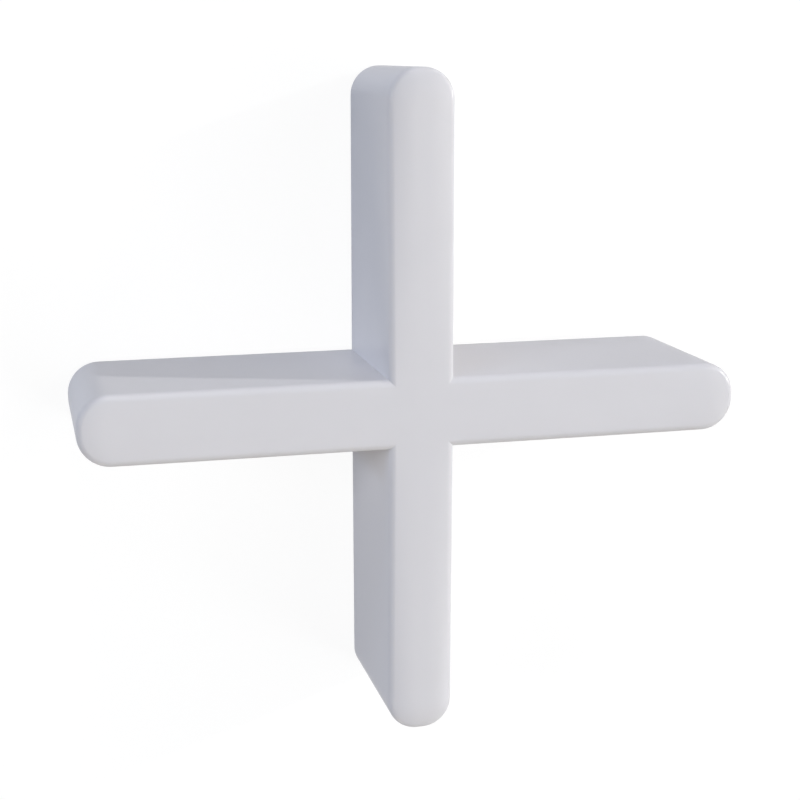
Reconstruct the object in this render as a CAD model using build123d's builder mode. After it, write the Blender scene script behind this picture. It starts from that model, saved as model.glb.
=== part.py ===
"""Cross-shaped tile spacer, moulded in one piece.

Four stubby arms stand at right angles and keep the gap between the edges of
the four tiles that meet at their crossing. The spacer lies flat on its back
face. X runs along the across arms, Y along the upright arms and Z through the
thickness, with the origin at the centre of the back face.
"""
import os

from build123d import *

# Across arms, which lie along X
across_span = 19.05  # tip to tip
across_width = 2.00  # the joint kept between the tiles above and the tiles below

# Upright arms, which lie along Y
upright_span = 19.05  # tip to tip
upright_width = 1.88  # the joint kept between the tiles on the left and on the right

# Both pairs of arms
thickness = 5.05  # back face to front face
tip_flat = 0.16  # straight stretch left between the two corner radii of a tip
edge_radius = 0.21  # rounding between the flat faces and the side walls

# A tip is nearly a half round: its corner radii take up all but the flat.
across_tip_radius = (across_width - tip_flat) / 2
upright_tip_radius = (upright_width - tip_flat) / 2


with BuildPart() as cross_spacer:
    # One outline for all four arms: two round-tipped bars that cross at their
    # middles, so the four inner corners stay square for the corners of the tiles.
    with BuildSketch(Plane.XY):
        RectangleRounded(across_span, across_width, across_tip_radius)
        RectangleRounded(upright_width, upright_span, upright_tip_radius)
    extrude(amount=thickness)

    # The same soft rounding runs round the outline of the back and the front
    # face, and its two halves meet in a mitre at each inner corner.
    flat_faces = cross_spacer.faces().filter_by(Axis.Z)
    fillet(flat_faces.edges(), radius=edge_radius)

cross_spacer.part.label = "cross_spacer"

os.makedirs("parts", exist_ok=True)
export_step(cross_spacer.part, "parts/cross_spacer.step")

size = cross_spacer.part.bounding_box().size
print(f"cross_spacer {size.X:.2f} x {size.Y:.2f} x {size.Z:.2f} mm, {cross_spacer.part.volume:.1f} mm3")
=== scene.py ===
# %% [markdown]
# Tile spacer: a small cross of moulded white plastic
#
# The real object is one moulding. Four stubby arms keep the same gap between the edges
# of four tiles that meet at a corner. It has no joints and nothing is fastened to it, so
# everything that the eye can find on it is in its form and in its skin: long flat faces,
# tips that are almost half round, a soft rounding along every edge, and a satin surface.
#
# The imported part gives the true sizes. This lesson builds one fine mesh around them,
# gives it a plastic skin, and lights it softly on a pale floor.

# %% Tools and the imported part
import math

import bmesh
import bpy
from mathutils import Matrix, Vector


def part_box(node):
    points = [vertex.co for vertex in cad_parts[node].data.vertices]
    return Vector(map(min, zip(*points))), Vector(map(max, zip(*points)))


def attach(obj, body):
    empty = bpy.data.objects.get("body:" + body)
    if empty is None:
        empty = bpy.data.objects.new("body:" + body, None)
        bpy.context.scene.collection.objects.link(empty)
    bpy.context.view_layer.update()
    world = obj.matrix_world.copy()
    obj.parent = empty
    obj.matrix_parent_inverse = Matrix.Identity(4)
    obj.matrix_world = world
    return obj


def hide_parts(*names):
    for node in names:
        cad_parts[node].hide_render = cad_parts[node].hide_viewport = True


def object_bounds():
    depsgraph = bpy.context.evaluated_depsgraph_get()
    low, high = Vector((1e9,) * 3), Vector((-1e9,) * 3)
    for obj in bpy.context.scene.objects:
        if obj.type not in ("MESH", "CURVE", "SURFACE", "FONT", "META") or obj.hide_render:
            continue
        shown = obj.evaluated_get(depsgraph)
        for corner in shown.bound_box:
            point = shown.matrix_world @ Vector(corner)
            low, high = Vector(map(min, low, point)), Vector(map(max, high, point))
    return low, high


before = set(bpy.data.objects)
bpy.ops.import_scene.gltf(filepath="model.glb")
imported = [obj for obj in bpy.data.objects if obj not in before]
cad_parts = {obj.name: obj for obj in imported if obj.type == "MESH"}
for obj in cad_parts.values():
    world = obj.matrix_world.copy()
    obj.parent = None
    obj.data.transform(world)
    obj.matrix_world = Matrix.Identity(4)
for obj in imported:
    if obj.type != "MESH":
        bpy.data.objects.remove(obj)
cad_low, cad_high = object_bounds()
MM = 0.001  # one millimetre, in metres
print("packed part:", [round(side / MM, 2) for side in cad_high - cad_low], "mm")

# %% [markdown]
# The camera
#
# The spacer lies on its back face, as it would come to rest, so the camera looks down on
# it. From straight above it is swung a little towards the left arm and a little towards
# the upper arm, which shows one side wall of each. It could be pointed with a Track To
# constraint, but that always keeps world Z upright, and here the upper arm, +Y, has to
# point up in the picture. So the camera's three axes are worked out and written down.

# %% Place the camera
SWING_LEFT = math.radians(14.29)
SWING_UP = math.radians(12.69)
CAMERA_DISTANCE = 42.96 * MM
AIM = Vector((-0.65 * MM, 0.45 * MM, cad_high.z))
LENS = 69.4  # on the usual 36 mm wide sensor, in millimetres

towards_camera = Vector((
    -math.sin(SWING_LEFT) * math.cos(SWING_UP),
    math.sin(SWING_UP),
    math.cos(SWING_LEFT) * math.cos(SWING_UP),
))
camera_right = Vector((0, 1, 0)).cross(towards_camera).normalized()
camera_up = towards_camera.cross(camera_right)

camera = bpy.data.objects.new("camera", bpy.data.cameras.new("camera"))
bpy.context.scene.collection.objects.link(camera)
axes = Matrix((camera_right, camera_up, towards_camera)).transposed()
camera.matrix_world = Matrix.Translation(AIM + towards_camera * CAMERA_DISTANCE) @ axes.to_4x4()
camera.data.lens = LENS
camera.data.clip_start = 1 * MM
bpy.context.scene.camera = camera
print("camera at", [round(c / MM, 1) for c in camera.matrix_world.translation], "mm")

# %% [markdown]
# Sizes of the moulding
#
# The spans and the thickness are the sides of the imported part's box. The widths of the
# arms can't be read from a box, but the imported mesh holds them too: close to the middle,
# the only vertices are those of the four inner corners, and the outermost of these stand
# half a width from the middle. Only the roundings are given here.

# %% Read the sizes
part_low, part_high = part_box("cross_spacer")
THICKNESS = part_high.z - part_low.z
ACROSS_REACH = (part_high.x - part_low.x) / 2
UPRIGHT_REACH = (part_high.y - part_low.y) / 2

packed_points = [v.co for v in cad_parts["cross_spacer"].data.vertices]
corner_points = [co for co in packed_points if co.xy.length < UPRIGHT_REACH / 2]
ACROSS_HALF_WIDTH = max(abs(co.y) for co in corner_points)
UPRIGHT_HALF_WIDTH = max(abs(co.x) for co in corner_points)

TIP_FLAT = 0.16 * MM  # straight stretch left at the end of a tip
EDGE_RADIUS = 0.21 * MM  # rounding between a wall and a flat face
print("arms across", round(2 * ACROSS_HALF_WIDTH / MM, 2), "mm wide,",
      "upright", round(2 * UPRIGHT_HALF_WIDTH / MM, 2), "mm wide")

# %% [markdown]
# How far the faces are from flat
#
# Moulded faces are seldom quite flat. Here both faces start to roll away before the
# rounding proper begins, so light runs softly over the front of each arm and does not
# stop at a hard line. The roll is next to nothing at the crossing. On the upright arms,
# the narrower pair, it grows all the way out to the tips. The across arms stay flat until
# shortly before theirs.

# %% Shape of the roll
ROLL_WIDTH = 0.60 * MM  # how far in from the edge rounding the face is level again
ROLL_AT_CROSSING = 0.006 * MM  # drop of a face at its edge
UPRIGHT_ROLL = (0.09 * MM, 1)  # the drop at the tip, and how late along the arm it comes
ACROSS_ROLL = (0.05 * MM, 7)
print("drop at the edges:", ROLL_AT_CROSSING / MM, "mm at the crossing,",
      UPRIGHT_ROLL[0] / MM, "and", ACROSS_ROLL[0] / MM, "mm at the tips")

# %% [markdown]
# The outline
#
# Seen from above the spacer is two round-tipped bars that cross. A bevelled box or two
# joined cubes would make it too, but they leave the inner corners to chance. Here one
# function gives each point of the outline together with its way inwards, always the same
# number of points in the same order. Moved in by any two distances they make two rings,
# which plain quads can join.
#
# Each arm is drawn in its own directions, out along the arm and to its left, and the
# four arms follow each other anticlockwise.

# %% Points of one outline
ARC_STEPS = 24  # steps in each quarter round of a tip
SIDE_STEPS = 16  # steps along each straight side


def arm_outline(outward, reach, half_width, crossing, tip_roll, lateness):
    """Stations round one arm, from its right inner corner to the last before its left one.

    A station is a point of the outline, the way it moves inwards, and the roll there.
    """
    left = Vector((-outward.y, outward.x))
    radius = half_width - TIP_FLAT / 2
    straight_end = reach - radius
    places = []
    for step in range(SIDE_STEPS):
        along = crossing + (straight_end - crossing) * step / SIDE_STEPS
        inwards = left if step else left - outward
        places.append((outward * along - left * half_width, inwards))
    for side, start in ((-1, -90), (1, 0)):
        middle = outward * straight_end + left * side * (half_width - radius)
        for step in range(ARC_STEPS + 1):
            angle = math.radians(start + 90 * step / ARC_STEPS)
            away = outward * math.cos(angle) + left * math.sin(angle)
            places.append((middle + away * radius, -away))
    for step in range(1, SIDE_STEPS):
        along = straight_end + (crossing - straight_end) * step / SIDE_STEPS
        places.append((outward * along + left * half_width, -left))

    stations = []
    for point, inwards in places:
        share = (point.dot(outward) - crossing) / (reach - crossing)
        roll = ROLL_AT_CROSSING + (tip_roll - ROLL_AT_CROSSING) * max(share, 0) ** lateness
        stations.append((point, inwards, roll))
    return stations


across_arm = (ACROSS_REACH, ACROSS_HALF_WIDTH, UPRIGHT_HALF_WIDTH, *ACROSS_ROLL)
upright_arm = (UPRIGHT_REACH, UPRIGHT_HALF_WIDTH, ACROSS_HALF_WIDTH, *UPRIGHT_ROLL)
outline = []
for outward, arm in (
    (Vector((1, 0)), across_arm),
    (Vector((0, 1)), upright_arm),
    (Vector((-1, 0)), across_arm),
    (Vector((0, -1)), upright_arm),
):
    outline += arm_outline(outward, *arm)
STATIONS_PER_ARM = len(outline) // 4
print(len(outline), "stations,", STATIONS_PER_ARM, "to an arm")

# %% [markdown]
# The profile
#
# Cut the spacer anywhere across an arm and the section is the same idea: a straight
# wall, a quarter round, then the long soft roll of the face. A Bevel modifier could
# round the edge, but it knows nothing of the roll, so both are written as one curve.
# The round starts upright at the wall and stops where it leans as far as the face does
# at its edge, so that the two meet without a crease. The wall gets a loop close to each
# of its ends, which keeps smooth shading from creeping over it.

# %% Insets and heights of one section
ROUND_STEPS = 10
ROLL_STEPS = 8
WALL_LOOPS = (0.04, 0.96)  # shares of the wall's height


def front_half(roll):
    """From the wall up over the edge to where the front face is level, as insets and heights."""
    face_lean = math.atan2(2 * roll, ROLL_WIDTH)
    round_height = THICKNESS - roll - EDGE_RADIUS * math.cos(face_lean)
    points = []
    for step in range(ROUND_STEPS + 1):
        lean = math.pi / 2 + (face_lean - math.pi / 2) * step / ROUND_STEPS
        inset = EDGE_RADIUS * (1 - math.sin(lean))
        points.append((inset, round_height + EDGE_RADIUS * math.cos(lean)))
    face_inset = points[-1][0]
    for step in range(1, ROLL_STEPS + 1):
        share = step / ROLL_STEPS
        points.append((face_inset + ROLL_WIDTH * share, THICKNESS - roll * (1 - share) ** 2))
    return points


def section(roll):
    """The whole section, from the level part of the back face to that of the front face."""
    front = front_half(roll)
    back = [(inset, THICKNESS - height) for inset, height in reversed(front)]
    wall_low = back[-1][1]
    wall_height = front[0][1] - wall_low
    wall = [(0.0, wall_low + wall_height * share) for share in WALL_LOOPS]
    return back + wall + front


SECTION_POINTS = len(section(0.0))
print(SECTION_POINTS, "points in a section")

# %% [markdown]
# Building the mesh
#
# One section stands at each station, and quads join every section to the next, right
# round the cross. What stays open are two narrow cross-shaped holes, where the faces are
# level. An n-gon would close them, but it would be cut into slivers. Instead each arm is
# closed like a zip, with quads between its two sides, and one quad closes the crossing.
#
# The inner corners stay sharp, as they are cut in the mould's steel. Everything else is
# shaded smooth.

# %% Join the sections and close the faces
INNER_CORNERS = range(0, len(outline), STATIONS_PER_ARM)


def join_sections(shape, columns):
    """Quads from each section to the next, right round the cross."""
    for number, column in enumerate(columns):
        following = columns[(number + 1) % len(columns)]
        for low in range(SECTION_POINTS - 1):
            shape.faces.new((column[low], following[low], following[low + 1], column[low + 1]))


def close_level_part(shape, columns, level, flip):
    """Zips up the narrow cross that stays open where a flat face is level."""
    rings = [[columns[number][level] for number in INNER_CORNERS]]
    for first in INNER_CORNERS:
        for step in range(STATIONS_PER_ARM // 2):
            near = (first + step, first + STATIONS_PER_ARM - step)
            numbers = (near[0], near[0] + 1, near[1] - 1, near[1])
            rings.append([columns[number % len(columns)][level] for number in numbers])
    for ring in rings:
        shape.faces.new(reversed(ring) if flip else ring)


print(len(INNER_CORNERS), "inner corners, at stations", list(INNER_CORNERS))

# %% Build the spacer
def build_spacer(name):
    shape = bmesh.new()
    columns = []
    for point, inwards, roll in outline:
        column = []
        for inset, height in section(roll):
            place = point + inwards * inset
            column.append(shape.verts.new((place.x, place.y, part_low.z + height)))
        columns.append(column)

    join_sections(shape, columns)
    close_level_part(shape, columns, level=0, flip=True)
    close_level_part(shape, columns, level=SECTION_POINTS - 1, flip=False)

    for face in shape.faces:
        face.smooth = True
    for number in INNER_CORNERS:
        for low in range(ROLL_STEPS, SECTION_POINTS - 1 - ROLL_STEPS):
            edge = shape.edges.get((columns[number][low], columns[number][low + 1]))
            edge.smooth = False

    mesh = bpy.data.meshes.new(name)
    shape.to_mesh(mesh)
    shape.free()
    piece = bpy.data.objects.new(name, mesh)
    bpy.context.scene.collection.objects.link(piece)
    return piece


spacer = build_spacer("moulded_spacer")
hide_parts("cross_spacer")
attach(spacer, "root")
print(spacer.name, "has", len(spacer.data.vertices), "points and", len(spacer.data.polygons), "faces")

# %% [markdown]
# The plastic
#
# The plastic is taken to be polypropylene, a common choice for spacers like this. Its
# colour is a clean, very slightly cool white that sends back about three quarters of the
# light. The skin copies the steel of the mould. That steel is taken to be finely blasted,
# so most of the gloss is a broad haze, but the plastic itself sets with a thin clear skin
# that still draws a bright line along a rounded edge.
#
# One Roughness value can't do both. A low one turns the side walls milky, because they
# are seen almost along their surface, where any gloss mirrors the white surroundings. A
# high one loses the bright lines. So the base is rough and hardly glossy, and a weak coat
# adds the clear skin. Noise in the object's own coordinates gives the grain of the steel
# and the cloudiness of the pigment at their real size, and where the pigment is cloudy
# the skin is a little thinner or thicker too.

# %% Noise at its real size
PIGMENT_SIZE = 1.8 * MM
GRAIN_SIZE = 0.05 * MM
NOISE_DETAIL = 2


def noise(nodes, links, feature_size):
    """Noise over the object in metres, with blotches about feature_size across."""
    coordinates = nodes.new("ShaderNodeTexCoord")
    texture = nodes.new("ShaderNodeTexNoise")
    texture.inputs["Scale"].default_value = 1 / feature_size
    texture.inputs["Detail"].default_value = NOISE_DETAIL
    links.new(coordinates.outputs["Object"], texture.inputs["Vector"])
    return texture.outputs["Fac"]


def spread(nodes, links, value, low, high):
    """A noise value spread from low to high."""
    between = nodes.new("ShaderNodeMapRange")
    between.inputs["To Min"].default_value = low
    between.inputs["To Max"].default_value = high
    links.new(value, between.inputs["Value"])
    return between.outputs["Result"]


print("pigment clouds", PIGMENT_SIZE / MM, "mm across, steel grain", GRAIN_SIZE / MM, "mm")

# %% Make the plastic
PLASTIC_WHITE = (0.765, 0.758, 0.782, 1)
PLASTIC_SHADE = (0.745, 0.739, 0.764, 1)
PLASTIC_IOR = 1.49
GRAIN_DEPTH = 0.0006 * MM
SMOOTHEST, ROUGHEST = 0.61, 0.69
BASE_GLOSS = 0.05
THINNEST_SKIN, THICKEST_SKIN = 0.19, 0.25
SKIN_ROUGHNESS = 0.18


def new_material(name):
    material = bpy.data.materials.new(name)
    material.use_nodes = True
    material.node_tree.nodes.clear()
    return material, material.node_tree.nodes, material.node_tree.links


def moulded_plastic():
    material, nodes, links = new_material("moulded_plastic")
    shader = nodes.new("ShaderNodeBsdfPrincipled")
    output = nodes.new("ShaderNodeOutputMaterial")
    links.new(shader.outputs["BSDF"], output.inputs["Surface"])
    shader.inputs["IOR"].default_value = PLASTIC_IOR
    shader.inputs["Specular IOR Level"].default_value = BASE_GLOSS
    shader.inputs["Coat Roughness"].default_value = SKIN_ROUGHNESS

    pigment = nodes.new("ShaderNodeMix")
    pigment.data_type = "RGBA"
    pigment.inputs["A"].default_value = PLASTIC_SHADE
    pigment.inputs["B"].default_value = PLASTIC_WHITE
    cloudiness = noise(nodes, links, PIGMENT_SIZE)
    links.new(cloudiness, pigment.inputs["Factor"])
    links.new(pigment.outputs["Result"], shader.inputs["Base Color"])

    grain = noise(nodes, links, GRAIN_SIZE)
    haze = spread(nodes, links, grain, SMOOTHEST, ROUGHEST)
    links.new(haze, shader.inputs["Roughness"])
    skin = spread(nodes, links, cloudiness, THINNEST_SKIN, THICKEST_SKIN)
    links.new(skin, shader.inputs["Coat Weight"])

    bump = nodes.new("ShaderNodeBump")
    bump.inputs["Distance"].default_value = GRAIN_DEPTH
    links.new(grain, bump.inputs["Height"])
    links.new(bump.outputs["Normal"], shader.inputs["Normal"])
    print("plastic: roughness", SMOOTHEST, "to", ROUGHEST, "under a skin of", SKIN_ROUGHNESS)
    return material


spacer.data.materials.append(moulded_plastic())

# %% [markdown]
# The floor
#
# The spacer lies on a pale floor that reads as pure white paper. Turning the lamps up
# until the paper clips would burn out the white plastic too. So for the camera most of
# the floor's white is its own, and only the last tenth is lit, which leaves a faint soft
# shadow round the spacer. For the light that bounces back onto the plastic it is plain
# pale grey paper.

# %% Make the floor
FLOOR_SIZE = 4.0
PAPER_GREY = (0.40, 0.40, 0.42, 1)
FLOOR_OWN_WHITE = 0.92
SHADOW_DEPTH = (0.12, 0.12, 0.12, 1)


def seen_directly(nodes, links):
    """1 for rays from the camera, a reflection or a clear piece, and 0 for light that bounces."""
    ray = nodes.new("ShaderNodeLightPath")
    total = ray.outputs["Is Camera Ray"]
    for kind in ("Is Glossy Ray", "Is Transmission Ray"):
        either = nodes.new("ShaderNodeMath")
        either.operation = "MAXIMUM"
        links.new(total, either.inputs[0])
        links.new(ray.outputs[kind], either.inputs[1])
        total = either.outputs["Value"]
    return total


def floor_material():
    material, nodes, links = new_material("paper")
    paper = nodes.new("ShaderNodeBsdfDiffuse")
    paper.inputs["Color"].default_value = PAPER_GREY
    glow = nodes.new("ShaderNodeEmission")
    glow.inputs["Strength"].default_value = FLOOR_OWN_WHITE
    lit = nodes.new("ShaderNodeBsdfDiffuse")
    lit.inputs["Color"].default_value = SHADOW_DEPTH
    seen = nodes.new("ShaderNodeAddShader")
    choice = nodes.new("ShaderNodeMixShader")
    output = nodes.new("ShaderNodeOutputMaterial")
    links.new(glow.outputs["Emission"], seen.inputs[0])
    links.new(lit.outputs["BSDF"], seen.inputs[1])
    links.new(seen_directly(nodes, links), choice.inputs["Fac"])
    links.new(paper.outputs["BSDF"], choice.inputs[1])
    links.new(seen.outputs["Shader"], choice.inputs[2])
    links.new(choice.outputs["Shader"], output.inputs["Surface"])
    return material


def build_floor():
    half = FLOOR_SIZE / 2
    mesh = bpy.data.meshes.new("floor")
    corners = [(-half, -half, 0), (half, -half, 0), (half, half, 0), (-half, half, 0)]
    mesh.from_pydata(corners, [], [(0, 1, 2, 3)])
    floor = bpy.data.objects.new("floor", mesh)
    floor.data.materials.append(floor_material())
    bpy.context.scene.collection.objects.link(floor)
    return floor


build_floor()
print("floor:", FLOOR_SIZE, "m wide, its own white", FLOOR_OWN_WHITE)

# %% [markdown]
# The light
#
# A small pale object shows its form by differences of a few percent between its faces,
# so it is lit from many sides by soft lamps of modest strength. Area lamps would do, but
# at this scale each would need its own distance and power. A sun lamp has only a
# direction and a width, and a wide one is a distant soft box.
#
# Light adds up, so the strengths did not have to be guessed. The spacer was rendered
# under one lamp at a time, and the strengths and tints of seven of these lamps were
# solved from those pictures to match the shading in the photo, and then rounded. The low
# key, the weak lamp on the right and the strip were set by trying.
#
# One lamp is narrow: the low key on the right, which throws the crisp shadow of the upper
# arm along the left arm. The lamps on the left are cooler and the low one in front of
# them is warmer, so walls that are about equally bright still differ in tint.
#
# The bright lines along the right edges need a lamp that is brighter than the walls can
# take. That lamp stands just above the floor on the right and is hidden from diffuse
# rays, so only the gloss meets it. A stronger coat would draw the lines too, but it would
# mirror the white floor in every side wall as well. Higher up, the same lamp would wash
# out the front face for anyone who looks from the left.

# %% Place the lamps
def soft_box(name, turn, rise, width, strength, colour):
    """A distant lamp, turned from +X towards +Y and raised above the floor, in degrees."""
    light = bpy.data.lights.new(name, "SUN")
    light.energy = strength
    light.color = colour
    light.angle = math.radians(width)
    holder = bpy.data.objects.new(name, light)
    holder.rotation_euler = (0, math.radians(90 - rise), math.radians(turn))
    bpy.context.scene.collection.objects.link(holder)
    return holder


lamps = [
    soft_box("low_key", 18.4, 17.5, 1.5, 1.42, (1, 0.99, 0.97)),
    soft_box("right_overhead", 0, 60, 40, 0.92, (0.98, 0.98, 1)),
    soft_box("right", 30, 35, 20, 0.20, (1, 0.97, 0.955)),
    soft_box("behind", 90, 22, 12, 0.63, (1, 0.96, 0.94)),
    soft_box("low_behind_left", 105, 12, 20, 0.35, (0.68, 0.81, 1)),
    soft_box("left", 165, 35, 20, 0.88, (0.89, 0.92, 1)),
    soft_box("low_left", 172, 6, 5, 0.42, (0.66, 0.78, 1)),
    soft_box("low_front_left", 255, 12, 20, 0.80, (1, 0.90, 0.75)),
    soft_box("front_right", 330, 35, 20, 0.72, (0.96, 0.98, 1)),
]
level_light = sum(lamp.data.energy * math.cos(lamp.rotation_euler.y) for lamp in lamps)
print(len(lamps), "lamps light a level face to", round(level_light / math.pi, 2), "of its own colour")

strip = soft_box("low_right_strip", 7, 4, 10, 3.2, (1, 1, 1))
strip.visible_diffuse = False
print(strip.name, "is seen by the gloss only")

# %% [markdown]
# The backdrop
#
# Beyond the floor there is only the world. A studio closes that gap with a curved sheet
# of paper, but a plain white world does the same with nothing to model. It is white where
# the camera or a reflection meets it, and it adds no light of its own to the plastic.

# %% Make the world
def backdrop():
    world = bpy.data.worlds.new("backdrop")
    world.use_nodes = True
    nodes, links = world.node_tree.nodes, world.node_tree.links
    links.new(seen_directly(nodes, links), nodes["Background"].inputs["Strength"])
    nodes["Background"].inputs["Color"].default_value = (1, 1, 1, 1)
    return world


bpy.context.scene.world = backdrop()
print("world:", bpy.context.scene.world.name, "white to the camera and to the gloss")

# %% [markdown]
# The view
#
# The Standard view transform shows each colour as it was mixed. The other ones press the
# brightest tones together, which would turn the white paper grey.
#
# The visual model has to stay inside the box of the imported part, and here it fills
# that box exactly.

# %% Finish
bpy.context.scene.view_settings.view_transform = "Standard"
